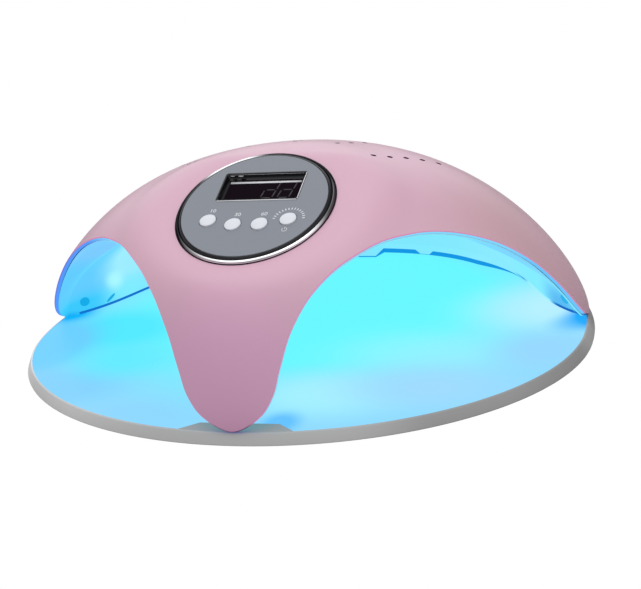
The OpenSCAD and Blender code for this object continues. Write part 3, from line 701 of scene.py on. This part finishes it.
# a thin slit on the liner's left wall, from its low end to its high end; it has the sensor's painted blue
# glow
SLIT_LOW, SLIT_HIGH = np.array([-0.1494, 0.0296, 0.0099]), np.array([-0.1448, 0.0343, 0.0140])
SLIT_FACE = np.array([0.745, -0.655, -0.11])
SLIT_HALF, SLIT_PROUD, SLIT_SUNK, SLIT_STEPS = 0.0009, 0.0004, -0.0002, 9
along = SLIT_HIGH - SLIT_LOW
side = np.cross(along, SLIT_FACE)
side /= np.linalg.norm(side)
verts, faces = [], []
for t in np.linspace(0.02, 0.98, SLIT_STEPS):
    half = SLIT_HALF * math.sqrt(math.sin(math.pi * t))
    for depth in (SLIT_PROUD, SLIT_SUNK):
        for way in (half, -half):
            verts.append(SLIT_LOW + along * t + side * way + SLIT_FACE * depth)
for k in range(SLIT_STEPS - 1):
    for p, q in ((0, 1), (1, 3), (3, 2), (2, 0)):
        faces.append((4 * k + p, 4 * k + q, 4 * k + 4 + q, 4 * k + 4 + p))
last = 4 * (SLIT_STEPS - 1)
faces += [(0, 1, 3, 2), (last, last + 2, last + 3, last + 1)]
slit = new_object("liner_slot_left", np.array(verts), faces, [sensor])
fix_normals(slit)
done(slit, "head", "sensor_dark")

# ---------------------------------------------------------------- base
BASE_HALF, BASE_FRONT, BASE_REAR, BASE_SHIFT, FLARE = 0.1765, 0.1174, 0.142, 0.0123, 0.0034
TRAY_LOW, TRAY_WALL, TRAY_SUNK, TRAY_TAPER = 0.0002, 0.004, 0.002, 0.0003
R = 0.0006
SEAT_INSET, DECK_INSET, DECK_EDGE, LAND_INSET = 0.0009, 0.00095, 0.0004, 0.00085
LAND_REAR, LAND_DEPTH, LAND_SLOPE = 0.0245, 0.0109, 1.47
LAND_SIDE_GAP, LAND_REAR_GAP, LAND_SUNK = 0.0003, 0.0002, 0.0002
OUTLINE_STEPS = 720
land_y = LAND_DEPTH - (BASE_FRONT + BASE_SHIFT)


def base_outline(grow, steps=360):
    a = np.linspace(0, 2 * np.pi, steps, endpoint=False)
    half = np.where(np.sin(a) < 0, BASE_FRONT, BASE_REAR) + grow
    return np.stack([(BASE_HALF + grow) * np.cos(a), -BASE_SHIFT + half * np.sin(a)], -1)


def stacked(name, loops, mats, smooth_angle=35):
    """Skin through closed loops of the same number of points, with flat ends."""
    n = len(loops[0])
    faces = []
    for k in range(len(loops) - 1):
        for i in range(n):
            j = (i + 1) % n
            faces.append((k * n + i, k * n + j, (k + 1) * n + j, (k + 1) * n + i))
    faces.append(tuple(range(n - 1, -1, -1)))
    faces.append(tuple(range((len(loops) - 1) * n, len(loops) * n)))
    return new_object(name, np.concatenate(loops), faces, mats, smooth_angle)


def lift(outline, z):
    return np.concatenate([outline, np.full((len(outline), 1), z)], 1)


def land_half(y):
    """Half the width of the tray's raised land, at a place y."""
    return LAND_REAR + (land_y - y) * LAND_SLOPE


def on_land(x, y, gap=0.0):
    return y < land_y and abs(x) < land_half(y) - gap


def land_corner(p, q):
    """Where the outline between p and q crosses the side of the land."""
    for t in np.linspace(0, 1, 60):
        r = p + (q - p) * t
        if abs(abs(r[0]) - land_half(r[1])) < 3e-5:
            return r
    return (p + q) / 2


def deck_outline():
    """Outline of the deck, with a notch for the land."""
    pts = base_outline(-DECK_INSET, OUTLINE_STEPS)
    out = [i for i, (x, y) in enumerate(pts) if on_land(x, y)]
    first, last = out[0], out[-1]
    a, b = land_corner(pts[first - 1], pts[first]), land_corner(pts[last], pts[last + 1])
    left, right = np.array([-LAND_REAR, land_y]), np.array([LAND_REAR, land_y])
    notch = [a] + [a + (left - a) * t for t in np.linspace(0.15, 0.95, 6)]
    notch += [np.array([x, land_y]) for x in np.linspace(-LAND_REAR + 0.001, LAND_REAR - 0.001, 12)]
    notch += [right + (b - right) * t for t in np.linspace(0.05, 0.85, 6)] + [b]
    return np.array(list(pts[:first]) + notch + list(pts[last + 1:]))


# how far the tray reaches out of the base's outline, and its height, from its inner foot to the deck's seat
tray_profile = [
    (FLARE - TRAY_WALL, TRAY_LOW + TRAY_SUNK), (FLARE - TRAY_WALL, TRAY_LOW), (FLARE - R, TRAY_LOW),
    (FLARE - 0.3 * R, TRAY_LOW + 0.3 * R), (FLARE - 0.15 * R, TRAY_LOW + R),
    (0.12 * R + TRAY_TAPER, deck_top - R), (-0.1 * R, deck_top - 0.3 * R), (-R, deck_top),
    (-SEAT_INSET, deck_top), (-SEAT_INSET, deck_low)]
tray = stacked("base_tray_skin", [lift(base_outline(grow), z) for grow, z in tray_profile], [grey])
fix_normals(tray)
done(tray, "base", "tray_grey", "base_tray")

outline = deck_outline()
deck = stacked("base_deck_skin", [lift(outline, deck_low), lift(outline, deck_top)], [deck_glow], 30)
bevel = deck.modifiers.new("edge", "BEVEL")
bevel.width = DECK_EDGE
bevel.segments = 2
bevel.limit_method = "ANGLE"
bevel.angle_limit = math.radians(40)
fix_normals(deck)
done(deck, "base", "deck_glow", "base_deck")

# the tray's raised land fills the notch
edge = [p for p in base_outline(-LAND_INSET, OUTLINE_STEPS) if on_land(p[0], p[1], LAND_SIDE_GAP)]
edge.sort(key=lambda p: p[0])
rear_x, rear_y = LAND_REAR - LAND_SIDE_GAP, land_y - LAND_REAR_GAP
outline = np.array(edge + [(rear_x, rear_y), (-rear_x, rear_y)])
land = stacked("tray_land", [lift(outline, deck_low + LAND_SUNK), lift(outline, deck_top)], [land_grey])
fix_normals(land)
done(land, "base", "tray_grey")

# ---------------------------------------------------------------- control panel
RING_STEPS = 192
BEAD_RADIUS, BEAD_HEIGHT, BEAD_HALF_WIDTH, BEAD_RISE = 46.75, -2.75, 1.1, 1.85
PLATE_GAP, PLATE_BEVEL = 0.0001, 0.0002
BUTTON_HOLE, DISPLAY_MARGIN, DISPLAY_CORNER, CUT_DEPTH = 0.0052, 0.0018, 0.0018, 0.01


def mm(points):
    return [(r * MM, z * MM) for r, z in points]


# a black groove runs round the plate, with a chrome bead outside it and a painted shadow, a thin black line,
# where the bead meets the shell
bead = [(45.2, -3.6), (46.4, -4.3), (46.4, -3.1), (48.4, -3.1),
        (48.4, -2.95), (48.3, -2.62), (48.1, -2.55), (47.85, -2.75)]
for a in range(5, 151, 10):
    bead.append((BEAD_RADIUS + BEAD_HALF_WIDTH * math.cos(math.radians(a)),
                 BEAD_HEIGHT + BEAD_RISE * math.sin(math.radians(a))))
ring = lathe("panel_ring_bead", mm(bead), PANEL, chrome, RING_STEPS, closed=True)
done(ring, "head", "ring_chrome", "panel_ring")
# painted shadow: a thin black ring where the bead meets the shell
line = [(47.75, -3.1), (48.4, -3.1), (48.4, -2.9), (48.34, -2.6), (48.1, -2.5), (47.85, -2.62)]
ring_seat_shadow = lathe("panel_ring_seat_shadow", mm(line), PANEL, black, RING_STEPS, closed=True)
done(ring_seat_shadow, "head", "ring_chrome", "panel_ring")
dip = [(41.5, -4.1), (45.3, -4.1), (46.0, -1.7), (45.7, -0.95), (44.9, -0.4),
       (44.25, -0.2), (44.05, -0.5), (44.05, -2.05), (41.5, -2.05)]
groove = lathe("panel_ring_groove", mm(dip), PANEL, black, RING_STEPS, closed=True)
done(groove, "head", "display_black", "panel_ring")

# the plate, with holes for the buttons and the display; it is made flat and then tilted into place
spots = []
for k in (1, 2, 3, 4):
    c = middle("plunger_%d" % k)
    spots.append((c.x, (c - panel_centre).dot(up_panel)))
plate_r = RING_RADIUS - RING_WIDTH - PLATE_GAP
side_view = [(0, -PLATE_THICK), (plate_r, -PLATE_THICK), (plate_r, -PLATE_BEVEL),
             (plate_r - PLATE_BEVEL, 0), (0, 0)]
plate = lathe("panel_plate_skin", side_view, Matrix.Identity(4), plate_grey, RING_STEPS)
cutters = bmesh.new()
for x, v in spots:
    add_pin(cutters, BUTTON_HOLE, CUT_DEPTH, Matrix.Translation((x, v, 0)), 64)
window = round_rect(DISPLAY_SIZE[0] - DISPLAY_MARGIN, DISPLAY_SIZE[1] - DISPLAY_MARGIN, DISPLAY_CORNER)
low = [cutters.verts.new((x, DISPLAY_RISE + y, -CUT_DEPTH)) for x, y in window]
top = [cutters.verts.new((x, DISPLAY_RISE + y, CUT_DEPTH)) for x, y in window]
cutters.faces.new(low[::-1])
cutters.faces.new(top)
for i in range(len(window)):
    j = (i + 1) % len(window)
    cutters.faces.new((low[i], low[j], top[j], top[i]))
cut_out(plate, cutters)
plate.data.transform(PANEL)
plate.data.set_sharp_from_angle(angle=math.radians(30))
done(plate, "head", "panel_grey", "panel_plate")


def on_panel(x, y, z):
    return PANEL @ Vector((x * MM, y * MM, z * MM))


def tube_of_loops(name, loops, mats, smooth_angle=45):
    """Closed skin through loops of the same number of points, the last joined to the first."""
    n = len(loops[0])
    verts = [v for loop in loops for v in loop]
    faces = []
    for k in range(len(loops)):
        k2 = (k + 1) % len(loops)
        for i in range(n):
            j = (i + 1) % n
            faces.append((k * n + i, k * n + j, k2 * n + j, k2 * n + i))
    obj = new_object(name, verts, faces, mats, smooth_angle)
    fix_normals(obj)
    return obj


# display frame: lip on the plate, rounded mouth, steep walls, inner ledge.
# Each loop is a rounded rectangle: width, height, corner and level in millimetres.
BEZEL = [
    (51.5, 25, 1.8, -0.3), (51.5, 25, 1.8, 0.05), (51.2, 24.7, 1.7, 0.2), (49.6, 23.1, 1.6, 0.2),
    (49.1, 22.6, 1.5, -0.1), (48.6, 22.1, 1.4, -2.4), (47.6, 21.1, 1.2, -2.9), (46.6, 20.1, 1.0, -3.1),
    (45.2, 18.7, 0.8, -3.4), (45.2, 18.7, 0.8, -4.4), (49.4, 22.9, 1.6, -4.4), (49.4, 22.9, 1.6, -0.3)]
rise = DISPLAY_RISE / MM
loops = []
for w, h, r, z in BEZEL:
    loops.append([on_panel(x / MM, rise + y / MM, z) for x, y in round_rect(w * MM, h * MM, r * MM)])
done(tube_of_loops("display_bezel_frame", loops, [black]), "head", "display_black", "display_bezel")


def bars(name, strokes, height, thick, mat, slot):
    """Flat strokes on the panel: each one runs from a to b with a width, in millimetres."""
    verts, faces = [], []
    for (ax, ay), (bx, by), wide in strokes:
        d = math.hypot(bx - ax, by - ay)
        ux, uy = (bx - ax) / d, (by - ay) / d
        px, py = -uy * wide / 2, ux * wide / 2
        k = len(verts)
        for z in (height, height + thick):
            for x, y in ((ax + px, ay + py), (ax - px, ay - py), (bx - px, by - py), (bx + px, by + py)):
                verts.append(on_panel(x, y, z))
        faces += [(k, k + 1, k + 2, k + 3), (k + 4, k + 7, k + 6, k + 5)]
        faces += [(k + i, k + 4 + i, k + 4 + (i + 1) % 4, k + (i + 1) % 4) for i in range(4)]
    obj = new_object(name, verts, faces, [mat], 0)
    fix_normals(obj)
    return done(obj, "head", slot)


# lit ledge inside the frame, painted highlights on its lower and right rims, and faint painted glints at its
# top
bars("display_ledge", [((-22.3, 23.1), (22.4, 23.1), 1.4)], -3.35, 0.5, ledge_grey, "panel_grey")
rim_highlights = [((-24.6, 3.55), (24.9, 3.55), 0.45), ((25.3, 4.4), (25.3, 27.6), 0.4)]
bars("display_rim_highlights", rim_highlights, 0.12, 0.2, rim_highlight_paint, "ring_chrome")
glints = [((-23.4, 27.5), (24.0, 27.5), 0.3), ((-22.6, 26.3), (-20.2, 26.3), 0.5),
          ((-17.6, 26.2), (-14.6, 26.2), 0.9)]
bars("display_glints", glints, -0.6, 0.3, glint_paint, "display_black")

# two digits of a numeral display, mostly unlit: the strokes of one digit, leaning to the right
DIGIT = [(1.2, 0, 6.3, 0), (1.2, 7, 6.3, 7), (7.2, 0.6, 7.2, 6.4), (7.2, 7.6, 7.2, 13.4), (0, 0.6, 0, 6.4)]
DIGIT_LEFTS, DIGIT_FOOT, DIGIT_LEAN, DIGIT_STROKE = (0.0, 10.5), 9.2, 0.16, 0.9
strokes = []
for x0 in DIGIT_LEFTS:
    for x1, y1, x2, y2 in DIGIT:
        a = (x0 + x1 + DIGIT_LEAN * y1, DIGIT_FOOT + y1)
        b = (x0 + x2 + DIGIT_LEAN * y2, DIGIT_FOOT + y2)
        strokes.append((a, b, DIGIT_STROKE))
bars("display_segments", strokes, -3.25, 0.12, segment, "window_smoke")

# print round the buttons: plain numerals, ticks and a power mark
NUMERAL_SIZE, NUMERAL_PROUD, NUMERAL_PLACE = 0.0040, 0.00003, (0.0006, 0.0086, 0.00004)
for k, (text, (x, v)) in enumerate(zip(("10", "30", "60"), spots[:3]), 1):
    font = bpy.data.curves.new("numeral", "FONT")
    font.body = text
    font.size = NUMERAL_SIZE
    font.align_x, font.align_y = "CENTER", "CENTER"
    font.extrude = NUMERAL_PROUD
    holder = bpy.data.objects.new("numeral", font)
    bpy.context.scene.collection.objects.link(holder)
    bpy.context.view_layer.update()
    mesh = bpy.data.meshes.new_from_object(holder.evaluated_get(bpy.context.evaluated_depsgraph_get()))
    bpy.data.objects.remove(holder)
    mesh.transform(PANEL @ Matrix.Translation(Vector((x, v, 0)) + Vector(NUMERAL_PLACE)))
    mesh.materials.clear()
    mesh.materials.append(print_ink)
    mark = bpy.data.objects.new("print_time_%d" % k, mesh)
    bpy.context.scene.collection.objects.link(mark)
    done(mark, "head", "button_white")

# millimetres: a fan of ticks above the fourth button, and a small power mark below it
TICK_FROM, TICK_TO, TICK_WIDE = 8.2, 9.9, 0.7
POWER_DROP, POWER_RADIUS, POWER_LINE, POWER_CHORD = 8.6, 1.5, 0.4, 21
x, v = spots[3][0] / MM, spots[3][1] / MM
ticks = []
for a in range(6, 175, 12):
    c, sn = math.cos(math.radians(a)), math.sin(math.radians(a))
    ticks.append(((x + TICK_FROM * c, v + TICK_FROM * sn), (x + TICK_TO * c, v + TICK_TO * sn), TICK_WIDE))
for a in range(-220, 41, 20):
    ends = []
    for b in (a, a + POWER_CHORD):
        ends.append((x + POWER_RADIUS * math.cos(math.radians(b)),
                     v - POWER_DROP + POWER_RADIUS * math.sin(math.radians(b))))
    ticks.append((ends[0], ends[1], POWER_LINE))
ticks.append(((x, v - 8.4), (x, v - 6.6), POWER_LINE))
bars("print_power", ticks, 0.0, 0.05, print_ink, "button_white")

# buttons: a stem, a flange under the plate and a cap with a rounded edge and a low crown
CAP_RADIUS, CAP_SIDE, CAP_ROUND, CAP_CROWN = 0.0049, 0.0005, 0.0003, 0.0007
FLANGE_DEPTH, FLANGE_THICK, FLANGE_WIDE = 0.00105, 0.001, 0.0012
STEM_RADIUS, STEM_LONG = 0.002, 0.0012
flange = -PLATE_THICK - FLANGE_DEPTH
profile = [(0, flange - STEM_LONG), (STEM_RADIUS, flange - STEM_LONG), (STEM_RADIUS, flange),
           (CAP_RADIUS + FLANGE_WIDE, flange), (CAP_RADIUS + FLANGE_WIDE, flange + FLANGE_THICK),
           (CAP_RADIUS, flange + FLANGE_THICK), (CAP_RADIUS, CAP_SIDE)]
for t in (20, 45, 70):
    profile.append((CAP_RADIUS - CAP_ROUND + CAP_ROUND * math.cos(math.radians(t)),
                    CAP_SIDE + CAP_ROUND * math.sin(math.radians(t))))
for share in (0.88, 0.7, 0.5, 0.25, 0):
    profile.append((CAP_RADIUS * share, CAP_SIDE + CAP_ROUND + CAP_CROWN * (1 - share * share)))
for k, (x, v) in enumerate(spots, 1):
    cap = lathe("button_cap_%d" % k, profile, PANEL @ Matrix.Translation((x, v, 0)), white, 64)
    done(cap, "key_%d" % k, "button_white", "button_%d" % k)

# ---------------------------------------------------------------- camera, floor, light
FLOOR_SIZE, FLOOR_Z, FLOOR_BOUNCE = 8, -0.0002, 0.19
AMBIENT, STUDIO_LEAST, KEY_POWER = 0.62, 0.02, 4.2
KEY_PLACE, KEY_AIM, KEY_SIZE = (-0.2, -0.15, 1.3), (0, 0, 0.05), 1.1
# soft panels of the studio: direction, cosines where each one starts and is full, level
LOBES = [
    ((0, 0, 1), 0.0, 0.9, 0.22), ((-0.35, 0.85, 0.45), 0.75, 0.97, 0.62),
    ((-0.3, -0.85, 0.35), 0.85, 0.97, 0.5), ((0.85, -0.25, 0.35), 0.3, 0.95, 0.5),
    ((0.62, 0.7, 0.35), 0.8, 0.97, -0.5), ((-0.78, 0.6, 0.1), 0.85, 0.98, -0.15)]
AZIMUTH, ELEVATION, TURN = (math.radians(a) for a in (22.321, 24.495, -10.048))
DISTANCE = 1.1128
FOCAL_WIDTHS = 1832.3 / 641
SENSOR_WIDTH = 36
AIM_RIGHT, AIM_UP, AIM_HEIGHT = 0.01578, -0.01894, 0.050
back_v = Vector((math.sin(AZIMUTH) * math.cos(ELEVATION), -math.cos(AZIMUTH) * math.cos(ELEVATION),
                 math.sin(ELEVATION)))
right_v = Vector((math.cos(AZIMUTH), math.sin(AZIMUTH), 0))
up_v = back_v.cross(right_v)
# the camera leans by TURN about its own line of sight
rr = math.cos(TURN) * right_v + math.sin(TURN) * up_v
uu = -math.sin(TURN) * right_v + math.cos(TURN) * up_v
cam_data = bpy.data.cameras.new("camera")
cam = bpy.data.objects.new("camera", cam_data)
bpy.context.scene.collection.objects.link(cam)
at = Vector((0, 0, AIM_HEIGHT)) + AIM_RIGHT * rr + AIM_UP * uu + DISTANCE * back_v
cam.matrix_world = Matrix(((rr.x, uu.x, back_v.x, at.x), (rr.y, uu.y, back_v.y, at.y),
                           (rr.z, uu.z, back_v.z, at.z), (0, 0, 0, 1)))
cam_data.sensor_width = SENSOR_WIDTH
cam_data.lens = SENSOR_WIDTH * FOCAL_WIDTHS
cam_data.clip_start, cam_data.clip_end = 0.05, 20
bpy.context.scene.camera = cam

bpy.ops.mesh.primitive_plane_add(size=FLOOR_SIZE, location=(0, 0, FLOOR_Z))
floor = bpy.context.active_object
floor.name = "floor"
fm = bpy.data.materials.new("floor_pale")
fm.use_nodes = True
nt = fm.node_tree
nt.nodes.clear()
pale, dim = nt.nodes.new("ShaderNodeEmission"), nt.nodes.new("ShaderNodeEmission")
dim.inputs["Strength"].default_value = FLOOR_BOUNCE
path, mix, out = (nt.nodes.new("ShaderNode" + kind) for kind in ("LightPath", "MixShader", "OutputMaterial"))
nt.links.new(path.outputs["Is Camera Ray"], mix.inputs[0])
nt.links.new(dim.outputs[0], mix.inputs[1])
nt.links.new(pale.outputs[0], mix.inputs[2])
nt.links.new(mix.outputs[0], out.inputs["Surface"])
floor.data.materials.append(fm)
floor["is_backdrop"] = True

# white backdrop to the eye, a dimmer studio with a few soft panels to the object
world = bpy.data.worlds.new("studio")
bpy.context.scene.world = world
world.use_nodes = True
nt = world.node_tree
nt.nodes.clear()
place = nt.nodes.new("ShaderNodeTexCoord")
total = None
for direction, start_cos, end_cos, level in LOBES:
    dot = nt.nodes.new("ShaderNodeVectorMath")
    dot.operation = "DOT_PRODUCT"
    dot.inputs[1].default_value = Vector(direction).normalized()
    nt.links.new(place.outputs["Generated"], dot.inputs[0])
    fall = nt.nodes.new("ShaderNodeMapRange")
    fall.interpolation_type = "SMOOTHSTEP"
    fall.inputs["From Min"].default_value, fall.inputs["From Max"].default_value = start_cos, end_cos
    fall.inputs["To Min"].default_value, fall.inputs["To Max"].default_value = 0.0, level
    nt.links.new(dot.outputs["Value"], fall.inputs["Value"])
    add = nt.nodes.new("ShaderNodeMath")
    add.operation = "ADD"
    nt.links.new(fall.outputs["Result"], add.inputs[0])
    if total is None:
        add.inputs[1].default_value = AMBIENT
    else:
        nt.links.new(total, add.inputs[1])
    total = add.outputs[0]
clip = nt.nodes.new("ShaderNodeMath")
clip.operation = "MAXIMUM"
clip.inputs[1].default_value = STUDIO_LEAST
nt.links.new(total, clip.inputs[0])
soft, plain = nt.nodes.new("ShaderNodeBackground"), nt.nodes.new("ShaderNodeBackground")
nt.links.new(clip.outputs[0], soft.inputs["Strength"])
path, mix, out = (nt.nodes.new("ShaderNode" + kind) for kind in ("LightPath", "MixShader", "OutputWorld"))
nt.links.new(path.outputs["Is Camera Ray"], mix.inputs[0])
nt.links.new(soft.outputs[0], mix.inputs[1])
nt.links.new(plain.outputs[0], mix.inputs[2])
nt.links.new(mix.outputs[0], out.inputs["Surface"])
for node in (soft, plain):
    node.inputs["Color"].default_value = (1, 1, 1, 1)

key_data = bpy.data.lights.new("key", "AREA")
key_data.energy = KEY_POWER
key_data.shape = "RECTANGLE"
key_data.size, key_data.size_y = KEY_SIZE, KEY_SIZE
key = bpy.data.objects.new("key", key_data)
bpy.context.scene.collection.objects.link(key)
key.location = KEY_PLACE
key.rotation_euler = (Vector(KEY_AIM) - Vector(KEY_PLACE)).to_track_quat("-Z", "Y").to_euler()

bpy.context.scene.view_settings.view_transform = "Standard"
bpy.context.scene.view_settings.look = "None"

low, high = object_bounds()
